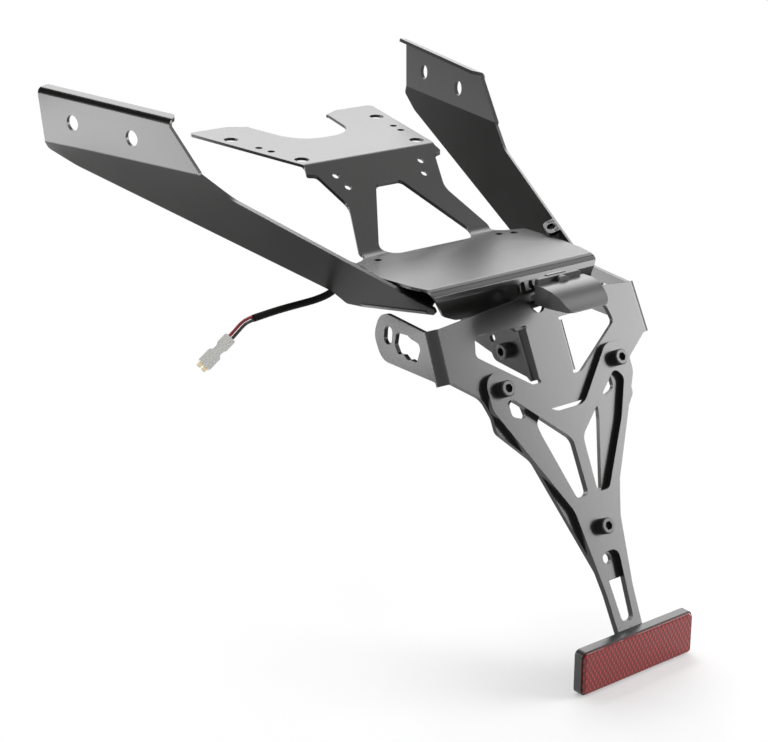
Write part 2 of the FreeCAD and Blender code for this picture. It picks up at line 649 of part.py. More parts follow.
def cap_screw(place, x, y, length):
    """Socket head cap screw whose head rests on z = 0 and stands towards -z."""
    head = place.rod(x, y, M6_HEAD, -M6_HEAD_HEIGHT, 0)
    top = place.at(x, y, -M6_HEAD_HEIGHT)
    rim = [edge for edge in head.Edges if edge.CenterOfMass.distanceToPoint(top) < 0.1]
    head = head.makeChamfer(M6_RIM_CHAMFER, rim)
    head = head.cut(place.hexagon(x, y, M6_HEX, -M6_HEAD_HEIGHT - 1, -M6_HEAD_HEIGHT / 2))
    return joined([head, place.rod(x, y, M6_SHANK, -0.5, length)])


def nut(place, x, y, across, hole, height):
    """Hexagon nut standing on z = 0 towards +z."""
    body = place.hexagon(x, y, across, 0, height)
    return body.cut(place.rod(x, y, hole + THREAD_FIT, -1, height + 1))


SCREW_FACE = Place(LEAN.at(0, 0, -CARRIER_SHEET), LEAN.x, LEAN.y)
NUT_FACE = Place(LEAN.at(0, 0, INDICATOR_SHEET), LEAN.x, LEAN.y)
for name, (x, y) in CARRIER_SCREW_POINTS.items():
    grip = CARRIER_SHEET + INDICATOR_SHEET
    nodes["carrier_screw_" + name] = cap_screw(SCREW_FACE, x, y, grip + M6_NUT_HEIGHT + STUD_END)
    nodes["carrier_nut_" + name] = nut(NUT_FACE, x, y, M6_NUT, M6_SHANK, M6_NUT_HEIGHT)

TAB_FACE = Place(V(LUG_TAB_X, 0, 0), V(0, 0, 1), V(0, 1, 0))
LUG_FACE = Place(V(HANGER_HALF - HANGER_SHEET, 0, 0), V(0, 0, 1), V(0, 1, 0))
grip = INDICATOR_SHEET + HANGER_SHEET
nodes["pivot_screw_right"] = cap_screw(TAB_FACE, PIVOT_Z, PIVOT_Y, grip + M6_NUT_HEIGHT + 1.0)
nodes["pivot_nut_right"] = nut(LUG_FACE, PIVOT_Z, PIVOT_Y, M6_NUT, M6_SHANK, M6_NUT_HEIGHT)
for name in ("pivot_screw", "pivot_nut"):
    nodes[name + "_left"] = mirror(nodes[name + "_right"])

# Studs welded under the platform, with their nuts
UNDER = Place(V(0, 0, -SEAT_SHEET), V(1, 0, 0), V(0, -1, 0))
UNDER_NUT = Place(V(0, 0, -SEAT_SHEET - ARM_SHEET), V(1, 0, 0), V(0, -1, 0))
stud_points = {"hanger_rear": HANGER_STUD_POINTS[0], "hanger_front": HANGER_STUD_POINTS[1]}
for side, sign in (("right", 1), ("left", -1)):
    for end, (x, y) in zip(("rear", "front"), FOOT_STUD_POINTS):
        stud_points[f"foot_{side}_{end}"] = (sign * x, y)
for name, (x, y) in stud_points.items():
    nodes["stud_" + name] = UNDER.rod(x, -y, M5_SHANK, 0, ARM_SHEET + M5_NUT_HEIGHT + STUD_END)
    nodes["nut_" + name] = nut(UNDER_NUT, x, -y, M5_NUT, M5_SHANK, M5_NUT_HEIGHT)

# Reflector
BACK = Place(V(0, tab_face.y, 0), V(1, 0, 0), V(0, 0, 1))


def reflector_outline(margin, radius):
    half = REFLECTOR_WIDTH / 2 - margin
    top = reflector_top - margin
    bottom = reflector_top - REFLECTOR_HEIGHT + margin
    return [(-half, bottom, radius), (half, bottom, radius), (half, top, radius), (-half, top, radius)]


housing = BACK.plate(reflector_outline(0, 3.5), 0, HOUSING_DEPTH)
stud_length = CARRIER_SHEET + M5_NUT_HEIGHT + STUD_END
stud = BACK.rod(0, reflector_middle, M5_SHANK, -stud_length, 1)
nodes["reflector_housing"] = joined([housing, stud])
lens = BACK.plate(reflector_outline(LENS_MARGIN, 2.8), HOUSING_DEPTH, HOUSING_DEPTH + LENS_DEPTH)
lens_front = [e for e in lens.Edges if abs(e.BoundBox.YMin - (tab_face.y - HOUSING_DEPTH - LENS_DEPTH)) < 0.01
              and e.BoundBox.YLength < 0.01]
nodes["reflector_lens"] = lens.makeChamfer(LENS_CHAMFER, lens_front)
FRONT_OF_TAB = Place(V(0, tab_face.y + CARRIER_SHEET, 0), V(1, 0, 0), V(0, 0, -1))
nodes["reflector_nut"] = nut(FRONT_OF_TAB, 0, -reflector_middle, M5_NUT, M5_SHANK, M5_NUT_HEIGHT)

# Lamp
lamp_tip_y = LAMP_BACK_Y - LAMP_LENGTH


def hood_shape(wall):
    """Solid inside the hood's outer skin, set in by the wall."""
    top = LAMP_TOP - wall
    tip = lamp_tip_y + wall
    back = LAMP_BACK_Y
    floor = LAMP_FLOOR if wall == 0 else LAMP_FLOOR - 1
    points = [V(0, back, floor), V(0, back, top), V(0, back - 5.5, top)]
    curve = Part.Arc(points[2], V(0, lamp_tip_y + LAMP_NOSE + 0.6 * wall, 1.0 - 0.75 * wall), V(0, tip, LAMP_FLOOR))
    edges = [Part.LineSegment(points[0], points[1]).toShape(), Part.LineSegment(points[1], points[2]).toShape(),
             curve.toShape()]
    if wall:
        edges.append(Part.LineSegment(V(0, tip, LAMP_FLOOR), V(0, tip, floor)).toShape())
    edges.append(Part.LineSegment(V(0, tip, floor), points[0]).toShape())
    half = LAMP_HALF_WIDTH - wall
    side = Part.Face(Part.Wire(edges)).extrude(V(2 * half, 0, 0)).translated(V(-half, 0, 0))
    plan = mirrored([(0, back, 0), (half, back, 0), (half, back - 12, 30), (half - 3.2, tip, 6), (0, tip, 0)])
    return side.common(PLAN.plate(plan, -20, 20))


hood = hood_shape(0).cut(hood_shape(LAMP_WALL))
nodes["lamp_hood"] = hood
lens_block = hood_shape(LAMP_WALL + LENS_FIT)
nodes["lamp_lens"] = lens_block.common(
    Part.makeBox(80, 80, LENS_THICKNESS, V(-40, lamp_tip_y - 10, LAMP_FLOOR + 0.6)))

COVER_FRONT_Y = LAMP_BACK_Y + COVER_DEPTH
COVER = Place(V(0, LAMP_BACK_Y, 0), V(1, 0, 0), V(0, 0, 1))


def lamp_cover():
    outline = mirrored([(0, LAMP_FLOOR, 0), (COVER_HALF_WIDTH, LAMP_FLOOR, 1.5), (COVER_HALF_WIDTH, COVER_TOP, 1.5),
                        (0, COVER_TOP, 0)])
    body = COVER.plate(outline, -COVER_DEPTH, 0)
    for k in range(GROOVE_COUNT):
        groove = Part.makeBox(2 * COVER_HALF_WIDTH + 2, GROOVE_DEPTH, GROOVE_WIDTH,
                              V(-COVER_HALF_WIDTH - 1, LAMP_BACK_Y, LAMP_TOP + 0.6 + GROOVE_PITCH * k))
        body = body.cut(groove)
    boss = COVER.rod(1.0, COVER_TOP - BOSS_DIAMETER / 2, BOSS_DIAMETER, -0.5, 3.2)
    boss = boss.common(Part.makeBox(40, 20, 20, V(-20, LAMP_BACK_Y - 10, LAMP_TOP)))
    body = joined([body, boss])
    body = body.cut(COVER.rod(0, CABLE_EXIT_Z, SLEEVE_DIAMETER + CABLE_FIT, -COVER_DEPTH - 1, -CABLE_EXIT_WALL))
    return body.cut(COVER.rod(0, LAMP_SCREW_Z, M3_SHANK + THREAD_FIT, -COVER_DEPTH - 1, SCREW_END_ROOM))


leg_top = LEAN.at(0, LAMP_LEG_S)
leg_reach = (COVER_FRONT_Y - leg_top.y) / -LEAN.z.y
leg_end = leg_top - LEAN.z * leg_reach
flange_top = LEAN.at(0, -15.2)
lamp_path = [
    (COVER_FRONT_Y, COVER_TOP + 0.4, 0),
    (COVER_FRONT_Y, leg_end.z, LAMP_BEND_RADIUS),
    (leg_top.y, leg_top.z, LAMP_BEND_RADIUS),
    (flange_top.y, flange_top.z, 0),
]


def lamp_bracket():
    body = bent_sheet(lamp_path, LAMP_SHEET, LAMP_BRACKET_HALF)
    body = body.cut(LEAN.rod(0, LAMP_FIX_S, M3_SHANK + HOLE_CLEARANCE, -5, 5))
    return body.cut(COVER.rod(0, LAMP_SCREW_Z, M3_SHANK + HOLE_CLEARANCE, -COVER_DEPTH - 5, 0))


nodes["lamp_bracket"] = lamp_bracket()
nodes["lamp_cover"] = lamp_cover()


def small_screw(place, x, y, length):
    head = place.rod(x, y, M3_HEAD, -M3_HEAD_HEIGHT, 0)
    head = head.cut(place.hexagon(x, y, M3_HEX, -M3_HEAD_HEIGHT - 1, -M3_HEAD_HEIGHT / 2))
    return joined([head, place.rod(x, y, M3_SHANK, -0.4, length)])


FLANGE_FACE = Place(LEAN.at(0, 0, -LAMP_SHEET), LEAN.x, LEAN.y)
nodes["lamp_bracket_screw"] = small_screw(FLANGE_FACE, 0, LAMP_FIX_S,
                                          LAMP_SHEET + INDICATOR_SHEET + M3_NUT_HEIGHT + 1.0)
nodes["lamp_bracket_nut"] = nut(NUT_FACE, 0, LAMP_FIX_S, M3_NUT, M3_SHANK, M3_NUT_HEIGHT)
COVER_SCREW_FACE = Place(V(0, COVER_FRONT_Y + LAMP_SHEET, 0), V(1, 0, 0), V(0, 0, 1))
nodes["lamp_screw"] = small_screw(COVER_SCREW_FACE, 0, LAMP_SCREW_Z, LAMP_SHEET + COVER_DEPTH)


def route_wire(points):
    """Straight runs joined by tangent arcs, each as large as its two runs allow. Prints the smallest radius."""
    runs = [(b - a).Length for a, b in zip(points, points[1:])]
    edges = []
    start = points[0]
    radii = []
    for i in range(1, len(points) - 1):
        back = (points[i - 1] - points[i]).normalize()
        ahead = (points[i + 1] - points[i]).normalize()
        half_turn = (math.pi - back.getAngle(ahead)) / 2
        run = 0.45 * min(runs[i - 1], runs[i])
        radius = run / math.tan(half_turn)
        radii.append(radius)
        bisector = (back + ahead).normalize()
        nearest = points[i] + bisector * (radius / math.cos(half_turn) - radius)
        edges.append(Part.LineSegment(start, points[i] + back * run).toShape())
        edges.append(Part.Arc(points[i] + back * run, nearest, points[i] + ahead * run).toShape())
        start = points[i] + ahead * run
    edges.append(Part.LineSegment(start, points[-1]).toShape())
    wire = Part.Wire(edges)
    print("route", round(wire.Length, 1), "mm, smallest radius", round(min(radii), 1))
    return wire


def tube(points, diameter):
    wire = route_wire(points)
    way = (points[1] - points[0]).normalize()
    ring = Part.Wire(Part.makeCircle(diameter / 2, points[0], way))
    solid = wire.makePipeShell([ring], True, False)
    expected = math.pi * diameter ** 2 / 4 * wire.Length
    print("tube volume over section times length", round(solid.Volume / expected, 4))
    return solid


# Lamp cable: the stretch that is held, from the lamp to the clip under the platform
clip = Place(CLIP_AT, V(0, 0, 1).cross(CLIP_WAY), V(0, 0, 1))
clip_run = CLIP_WAY * (CLIP_WIDTH / 2 + 0.5)
held_route = [
    V(0, LAMP_BACK_Y + CABLE_EXIT_WALL, CABLE_EXIT_Z),
    V(0, -37.0, CABLE_EXIT_Z),
    V(0, -32.2, -7.2),
    LEAN.at(0, -0.6, -4.0),
    LEAN.at(0, -0.4, 8.0),
    V(0, -5.0, -27.0),
    V(0, 10.0, -29.0),
    V(-0.5, 26.0, -25.0),
    V(-1.5, 42.0, -19.0),
    V(-5.0, 57.0, -14.0),
    V(-15.0, 65.5, -10.8),
    V(-29.0, 66.3, -8.7),
    V(-43.5, 61.5, -7.2),
    CLIP_AT - CLIP_WAY * 5.0,
    CLIP_AT + clip_run,
]
nodes["lamp_cable"] = tube(held_route, SLEEVE_DIAMETER)


def cable_clip():
    """Ring round the cable under a collar, with a stem that fills the hole in the platform."""
    bore = SLEEVE_DIAMETER + CABLE_FIT
    ring = clip.rod(0, 0, bore + 2 * CLIP_WALL, -CLIP_WIDTH / 2, CLIP_WIDTH / 2)
    collar_top = -SEAT_SHEET - CLIP_AT.z
    collar_low = collar_top - CLIP_WALL
    upright = Place(CLIP_AT, V(1, 0, 0), V(0, 1, 0))
    collar = upright.rod(0, 0, CLIP_COLLAR, collar_low, collar_top)
    stem = upright.rod(0, 0, SMALL_HOLE - CABLE_FIT, collar_low, collar_top + SEAT_SHEET)
    body = joined([ring, collar, stem])
    return body.cut(clip.rod(0, 0, bore, -CLIP_COLLAR, CLIP_COLLAR))


nodes["cable_clip"] = cable_clip()

# Free end of the cable: sleeve, two wires and their connector
sleeve_route = [
    CLIP_AT + clip_run,
    CLIP_AT + CLIP_WAY * 8.5,
    V(-72.8, 74.4, -9.4),
    V(-76.6, 78.0, -14.4),
    V(-81.0, 81.6, -19.6),
    V(-89.0, 84.8, -22.6),
    V(-99.5, 86.2, -23.6),
    V(-112.0, 85.9, -23.9),
    V(-124.5, 85.3, -24.5),
    SLEEVE_END,
]
nodes["cable_sleeve"] = tube(sleeve_route, SLEEVE_DIAMETER)

CONNECTOR = Place(CONNECTOR_START, CONNECTOR_WAY, CONNECTOR_ACROSS)
sleeve_way = (sleeve_route[-1] - sleeve_route[-2]).normalize()
sleeve_across = (CONNECTOR.y - sleeve_way * CONNECTOR.y.dot(sleeve_way)).normalize()
wire_route = [
    (SLEEVE_END, sleeve_across),
    (SLEEVE_END + sleeve_way * 4.5, sleeve_across),
    (V(-146.0, 85.0, -28.4), CONNECTOR.y),
    (CONNECTOR_START - CONNECTOR.x * 5.0, CONNECTOR.y),
    (CONNECTOR_START, CONNECTOR.y),
]
for name, side in (("red_wire", -1), ("black_wire", 1)):
    nodes[name] = tube([point + across * (side * WIRE_SPACING / 2) for point, across in wire_route], WIRE_DIAMETER)

CONNECTOR_OUTLINE = [
    (0, -4.0, 1.0),
    (8.0, -4.0, 1.0),
    (9.5, -3.0, 1.5),
    (13.0, -3.0, 1.5),
    (14.5, -4.7, 1.0),
    (CONNECTOR_LENGTH, -4.7, 0.8),
    (CONNECTOR_LENGTH, 4.7, 0.8),
    (14.5, 4.7, 1.0),
    (13.0, 3.0, 1.5),
    (9.5, 3.0, 1.5),
    (8.0, 4.0, 1.0),
    (0, 4.0, 1.0),
]


def terminal_outline(side, fit):
    """One terminal of the connector, with the fit added all round it."""
    middle = side * (TERMINAL_WIDTH + TERMINAL_GAP) / 2
    low = middle - TERMINAL_WIDTH / 2 - fit
    high = middle + TERMINAL_WIDTH / 2 + fit
    start = CONNECTOR_LENGTH - TERMINAL_DEPTH
    end = CONNECTOR_LENGTH + TERMINAL_REACH
    return [(start, low, 0), (end, low, 0.6), (end, high, 0.6), (start, high, 0)]


def connector_body():
    half = CONNECTOR_THICKNESS / 2
    body = CONNECTOR.plate(CONNECTOR_OUTLINE, -half, half)
    for side in (1, -1):
        room = TERMINAL_THICKNESS / 2 + CABLE_FIT / 2
        body = body.cut(CONNECTOR.plate(terminal_outline(side, CABLE_FIT / 2), -room, room))
    return body


nodes["connector_body"] = connector_body()
nodes["connector_terminals"] = Part.makeCompound([
    CONNECTOR.plate(terminal_outline(side, 0), -TERMINAL_THICKNESS / 2, TERMINAL_THICKNESS / 2)
    for side in (1, -1)])


os.makedirs("parts", exist_ok=True)
to_seat_face = V(0, -SEAT_FACE_Y, -seat_height(SEAT_FACE_Y))
for name, shape in nodes.items():
    solids = shape.Solids
    whole = solids[0] if len(solids) == 1 else Part.makeCompound(solids)
    print(name, whole.isValid(), len(solids), "solids,", round(whole.Volume), "mm3")
    whole.translated(to_seat_face).exportStep(f"parts/{name}.step")
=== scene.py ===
# %% [markdown]
# # A tail tidy for a motorbike
# The bracket set is folded from black coated sheet. The imported model brings every sheet, screw and nut
# with its real shape, so this lesson adds what the solids can't hold: the soft cable, the finish of each
# surface, and light. The frame is loaded first, and the size of its box is kept; its lowest point sets
# the height of the floor.

# %% Load the frame
import math

import bmesh
import bpy
import numpy as np
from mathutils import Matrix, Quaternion, Vector


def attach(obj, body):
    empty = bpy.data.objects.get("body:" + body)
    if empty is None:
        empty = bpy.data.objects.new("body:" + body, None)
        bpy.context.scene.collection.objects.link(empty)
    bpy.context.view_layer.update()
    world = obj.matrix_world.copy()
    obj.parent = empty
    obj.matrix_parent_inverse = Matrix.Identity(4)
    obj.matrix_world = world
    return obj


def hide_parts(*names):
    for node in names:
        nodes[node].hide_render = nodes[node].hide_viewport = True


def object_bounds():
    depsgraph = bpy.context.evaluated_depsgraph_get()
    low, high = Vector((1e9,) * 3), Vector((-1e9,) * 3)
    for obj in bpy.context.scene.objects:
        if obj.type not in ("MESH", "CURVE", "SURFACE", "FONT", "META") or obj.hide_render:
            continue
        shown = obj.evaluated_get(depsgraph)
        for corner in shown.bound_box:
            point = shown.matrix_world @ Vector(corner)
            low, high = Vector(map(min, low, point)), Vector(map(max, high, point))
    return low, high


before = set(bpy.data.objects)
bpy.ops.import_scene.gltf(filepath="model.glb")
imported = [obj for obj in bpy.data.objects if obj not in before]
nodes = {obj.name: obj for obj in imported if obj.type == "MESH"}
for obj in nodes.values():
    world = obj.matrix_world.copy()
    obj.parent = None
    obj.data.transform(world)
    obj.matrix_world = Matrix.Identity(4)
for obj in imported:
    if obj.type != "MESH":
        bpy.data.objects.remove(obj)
solid_box = [list(corner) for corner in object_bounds()]
print("nodes", len(nodes), "box", solid_box)

# %% [markdown]
# ## The camera
# The photograph was taken from behind, left and a little above with a long lens. The long lens keeps the
# near reflector and the far arms at nearly the same scale. The place and the turn were worked out from
# pairs of points that mirror each other across the object's centre line.

# %% Place the camera
CAMERA_AT = (-0.75361, -1.00248, 0.28048)
CAMERA_HEADING = math.radians(38.0)
CAMERA_DOWN = math.radians(19.46)
LENS_MM = 88.09
SENSOR_MM = 36.0
NEAREST_SEEN = 0.05

camera_data = bpy.data.cameras.new("camera")
camera_data.lens = LENS_MM
camera_data.sensor_width = SENSOR_MM
camera_data.clip_start = NEAREST_SEEN
camera = bpy.data.objects.new("camera", camera_data)
camera.location = CAMERA_AT
camera.rotation_euler = (math.pi / 2 - CAMERA_DOWN, 0.0, -CAMERA_HEADING)
bpy.context.scene.collection.objects.link(camera)
bpy.context.scene.camera = camera
print("camera at", CAMERA_AT, "lens", LENS_MM, "mm")

# %% [markdown]
# ## The free end of the lamp cable
# A short sleeve comes out of its clip under the platform and sticks out to the left. Two thin wires leave
# it and end in a two-pin connector. A cable has no corners, so each line is a NURBS spline: its control
# points pull the line without making it pass through them, and the bends come out soft.

# %% Say where the cable starts and ends
MM = 0.001
DATUM_TO_ROW = Vector((0.0, -167.0, -49.90))
CLIP_AT = Vector((-61.0, 66.5, -6.6))
CLIP_WAY = Vector((-0.84, 0.54, 0.0))
SLEEVE_END = Vector((-137.0, 85.0, -25.6))
CONNECTOR_START = Vector((-154.4, 85.0, -34.8))
CONNECTOR_WAY = Vector((-21.6, 0.0, -14.8)).normalized()
CONNECTOR_ACROSS = Vector((0.463, -0.571, -0.676))
SLEEVE_DIAMETER = 4.7
WIRE_DIAMETER = 2.0
WIRE_SPACING = 2.3
print("sleeve", SLEEVE_DIAMETER, "mm thick, wires", WIRE_DIAMETER, "mm thick and", WIRE_SPACING, "mm apart")

# %% List the control points of the sleeve and the wires
sleeve_route = [
    CLIP_AT + CLIP_WAY * 2.0,
    CLIP_AT + CLIP_WAY * 8.5,
    Vector((-72.8, 74.4, -9.4)),
    Vector((-76.6, 78.0, -14.4)),
    Vector((-81.0, 81.6, -19.6)),
    Vector((-89.0, 84.8, -22.6)),
    Vector((-99.5, 86.2, -23.6)),
    Vector((-112.0, 85.9, -23.9)),
    Vector((-124.5, 85.3, -24.5)),
    SLEEVE_END,
]
sleeve_way = (SLEEVE_END - sleeve_route[-2]).normalized()
across = (CONNECTOR_ACROSS - CONNECTOR_WAY * CONNECTOR_ACROSS.dot(CONNECTOR_WAY)).normalized()
across_sleeve = (across - sleeve_way * across.dot(sleeve_way)).normalized()
wire_middle = [
    (SLEEVE_END, across_sleeve),
    (SLEEVE_END + sleeve_way * 4.5, across_sleeve),
    (Vector((-146.0, 85.0, -28.4)), across),
    (CONNECTOR_START - CONNECTOR_WAY * 5.0, across),
    (CONNECTOR_START, across),
]
print("control points", len(sleeve_route), "for the sleeve and", len(wire_middle), "for each wire")

# %% Turn a list of points into a round cord
SECTION_STEPS = 8
LINE_STEPS = 24


def row(point):
    """A point of the drawing, in millimetres from its datum, as metres in the row's frame."""
    return (point + DATUM_TO_ROW) * MM


def cord_curve(name, points, diameter):
    """One open NURBS line of order 3 that ends on its first and last control points, with a round section.
    The section is a circle of one metre, and each point's own radius scales it to size: Blender adds the
    points' radius to a curve's box, so a radius in true size keeps the box true."""
    data = bpy.data.curves.new(name, "CURVE")
    data.dimensions = "3D"
    data.bevel_depth = 1.0
    data.bevel_resolution = SECTION_STEPS
    data.use_fill_caps = True
    data.resolution_u = LINE_STEPS
    line = data.splines.new("NURBS")
    line.points.add(len(points) - 1)
    for control, point in zip(line.points, points):
        control.co = (*row(point), 1.0)
        control.radius = diameter * MM / 2
    line.order_u = 3
    line.use_endpoint_u = True
    piece = bpy.data.objects.new(name, data)
    bpy.context.scene.collection.objects.link(piece)
    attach(piece, "root")
    return piece


# %% Draw the sleeve and the wires
sleeve = cord_curve("sleeve", sleeve_route, SLEEVE_DIAMETER)
wires = {}
for colour, side in (("red", -1), ("black", 1)):
    route = [point + aside * (side * WIRE_SPACING / 2) for point, aside in wire_middle]
    wires[colour] = cord_curve(colour + "_lead", route, WIRE_DIAMETER)
print("cords", sleeve.name, sorted(wire.name for wire in wires.values()))

# %% [markdown]
# ## How long the cable is
# A cord keeps its length when it moves, so its length is measured and printed. The length could be added
# up from the control points, but the curve cuts inside their corners. So the curve is made a mesh without
# its section, which leaves a fine chain of points along the line itself, and the links of that chain are
# added up.


# %% Measure a line
def line_length(piece):
    """Length of a curve's line: its mesh with no section is a chain of points, whose links are added up."""
    section = piece.data.bevel_depth
    piece.data.bevel_depth = 0.0
    line = bpy.data.meshes.new_from_object(piece)
    piece.data.bevel_depth = section
    points = np.empty(len(line.vertices) * 3)
    line.vertices.foreach_get("co", points)
    return float(np.linalg.norm(np.diff(points.reshape(-1, 3), axis=0), axis=1).sum())


print("sleeve", round(line_length(sleeve), 4), "red lead", round(line_length(wires["red"]), 4),
      "black lead", round(line_length(wires["black"]), 4))

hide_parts("cable_sleeve")
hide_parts("red_wire")
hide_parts("black_wire")
line_length(sleeve)

# %% [markdown]
# ## Tools for the materials
# Each finish below is a Principled shader with a few nodes in front of it. Three short helpers keep those
# cells readable: one turns a screen colour into the linear numbers that Blender mixes, one adds a node
# and sets its values by name, and one starts an empty node group. Effects that several finishes share are
# node groups, built once.


# %% Helpers for colours and nodes
def linear(red, green, blue):
    """Screen colour from 0 to 255 as linear light: the sRGB curve, undone."""
    screen = np.array([red, green, blue]) / 255.0
    light = np.where(screen <= 0.04045, screen / 12.92, ((screen + 0.055) / 1.055) ** 2.4)
    return (*light.tolist(), 1.0)


def add(tree, kind, values=None, **settings):
    """Adds a node of a kind, sets its own settings and then its sockets' values by name."""
    node = tree.nodes.new("ShaderNode" + kind)
    for name, value in settings.items():
        setattr(node, name, value)
    for name, value in (values or {}).items():
        node.inputs[name].default_value = value
    return node


def new_group(title, inputs, outputs):
    """Empty node group with a vector input Place, float inputs by name and value, and outputs by kind."""
    group = bpy.data.node_groups.new(title, "ShaderNodeTree")
    group.interface.new_socket("Place", in_out="INPUT", socket_type="NodeSocketVector")
    for name, value in inputs.items():
        socket = group.interface.new_socket(name, in_out="INPUT", socket_type="NodeSocketFloat")
        socket.default_value = value
    for name, kind in outputs.items():
        group.interface.new_socket(name, in_out="OUTPUT", socket_type="NodeSocket" + kind)
    start = group.nodes.new("NodeGroupInput")
    end = group.nodes.new("NodeGroupOutput")
    return group, start, end


print("mid grey as light", round(linear(128, 128, 128)[0], 4))

# %% [markdown]
# ## Fine coating grain
# A powder coat or a black oxide isn't a mirror: it has a very fine pimpled skin, and its sheen drifts
# slightly over a hand's breadth. One noise pattern could give both, but they differ a hundredfold in
# size, so the group has two: a fine one as the height for a Bump node, and a slow one that makes the
# roughness wander about a middle.


# %% Build the coating group
def build_coating_skin():
    """Height is fine noise; roughness is a middle value plus slow noise about it, times an amount."""
    group, start, end = new_group(
        "coating skin",
        {"Grain Scale": 1600.0, "Roughness": 0.36, "Drift": 0.05, "Drift Scale": 18.0},
        {"Roughness": "Float", "Height": "Float", "Shade": "Float"},
    )
    fine = add(group, "TexNoise", {"Detail": 2.0, "Roughness": 0.6})
    slow = add(group, "TexNoise", {"Detail": 3.0, "Roughness": 0.5})
    centred = add(group, "Math", {1: 0.5}, operation="SUBTRACT")
    scaled = add(group, "Math", operation="MULTIPLY")
    total = add(group, "Math", operation="ADD")
    link = group.links.new
    link(start.outputs["Place"], fine.inputs["Vector"])
    link(start.outputs["Grain Scale"], fine.inputs["Scale"])
    link(start.outputs["Place"], slow.inputs["Vector"])
    link(start.outputs["Drift Scale"], slow.inputs["Scale"])
    link(slow.outputs["Fac"], centred.inputs[0])
    link(centred.outputs[0], scaled.inputs[0])
    link(start.outputs["Drift"], scaled.inputs[1])
    link(scaled.outputs[0], total.inputs[0])
    link(start.outputs["Roughness"], total.inputs[1])
    link(total.outputs[0], end.inputs["Roughness"])
    link(fine.outputs["Fac"], end.inputs["Height"])
    link(slow.outputs["Fac"], end.inputs["Shade"])
    return group


coating_skin = build_coating_skin()
print("coating skin nodes", len(coating_skin.nodes))

# %% [markdown]
# ## One recipe for the coated and moulded surfaces
# Sheet, screws and plastic differ in colour, sheen and grain, but are built alike. Each could be its own
# tree of nodes. One function that takes the colour, the sheen and the grain as values keeps them alike
# and easy to compare. A real folded sheet also has slightly rounded edges that catch the light, and the
# Bevel node gives these to the shading without any more geometry.

# %% Make a material with the coating skin
SHADE_STOPS = (0.3, 0.7)
EDGE_SAMPLES = 4


def skinned(name, dark, light, roughness, drift, grain, bump_mm, settings=None, edge_mm=0.0):
    """Principled material: the colour runs from dark to light with the slow noise, and the skin gives its
    roughness and bump. With an edge size, the shading turns round each edge as if it were rounded."""
    material = bpy.data.materials.new(name)
    material.use_nodes = True
    tree = material.node_tree
    shader = tree.nodes["Principled BSDF"]
    place = add(tree, "TexCoord")
    skin = tree.nodes.new("ShaderNodeGroup")
    skin.node_tree = coating_skin
    skin.inputs["Grain Scale"].default_value = grain
    skin.inputs["Roughness"].default_value = roughness
    skin.inputs["Drift"].default_value = drift
    shades = add(tree, "ValToRGB")
    for stop, position, colour in zip(shades.color_ramp.elements, SHADE_STOPS, (dark, light)):
        stop.position = position
        stop.color = colour
    bump = add(tree, "Bump", {"Strength": 1.0, "Distance": bump_mm * MM})
    link = tree.links.new
    if edge_mm:
        rounded = add(tree, "Bevel", {"Radius": edge_mm * MM}, samples=EDGE_SAMPLES)
        link(rounded.outputs["Normal"], bump.inputs["Normal"])
    link(place.outputs["Object"], skin.inputs["Place"])
    link(skin.outputs["Shade"], shades.inputs["Fac"])
    link(shades.outputs["Color"], shader.inputs["Base Color"])
    link(skin.outputs["Roughness"], shader.inputs["Roughness"])
    link(skin.outputs["Height"], bump.inputs["Height"])
    link(bump.outputs["Normal"], shader.inputs["Normal"])
    for socket, value in (settings or {}).items():
        shader.inputs[socket].default_value = value
    return material


def dress(names, material):
    """Gives a material to CAD nodes."""
    for name in names:
        data = nodes[name].data
        data.materials.clear()
        data.materials.append(material)


print("stops of the shade at", SHADE_STOPS)

# %% [markdown]
# ## Smooth folds
# A CAD model reaches Blender as loose flat triangles, so a fold shows as a row of flat bands. A copy of
# the sheet is welded first, and its flat triangles are joined to whole faces. Then the shading runs
# smoothly over every edge that turns by less than a limit, and the weighted normals let the large flat
# faces keep their own direction, so that only the folds look round. The model could be made with more
# triangles in each fold instead, but smooth shading gives the same look with far fewer.

# %% Make a welded copy of a sheet
SMOOTH_BELOW = math.radians(33.0)
FLAT_WITHIN = math.radians(0.5)
WELD = 1e-6
LARGE_FACES_FIRST = 100


def smooth_sheet(name, material):
    """Copy of a node with its corners welded and its folds smooth, which takes the node's place."""
    mesh = nodes[name].data.copy()
    mesh.name = name + "_smooth"
    welded = bmesh.new()
    welded.from_mesh(mesh)
    bmesh.ops.remove_doubles(welded, verts=welded.verts, dist=WELD)
    bmesh.ops.dissolve_limit(welded, angle_limit=FLAT_WITHIN, verts=welded.verts, edges=welded.edges)
    welded.to_mesh(mesh)
    welded.free()
    mesh.polygons.foreach_set("use_smooth", np.ones(len(mesh.polygons), dtype=bool))
    mesh.set_sharp_from_angle(angle=SMOOTH_BELOW)
    mesh.materials.clear()
    mesh.materials.append(material)
    piece = bpy.data.objects.new(name + "_smooth", mesh)
    bpy.context.scene.collection.objects.link(piece)
    weighted = piece.modifiers.new("weighted", "WEIGHTED_NORMAL")
    weighted.keep_sharp = True
    weighted.weight = LARGE_FACES_FIRST
    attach(piece, "root")
    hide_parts(name)
    return piece


print("folds are smooth below", round(math.degrees(SMOOTH_BELOW)), "degrees")

# %% [markdown]
# ## The black sheets
# All the brackets share one finish: satin black, nearly no colour of its own, and a broad soft sheen that
# makes faces turned to a light look grey. A lighter colour would give that grey too, but from every side
# and in every light. A dark colour with a low roughness shows it only where a lamp is mirrored, as the
# real coating does.

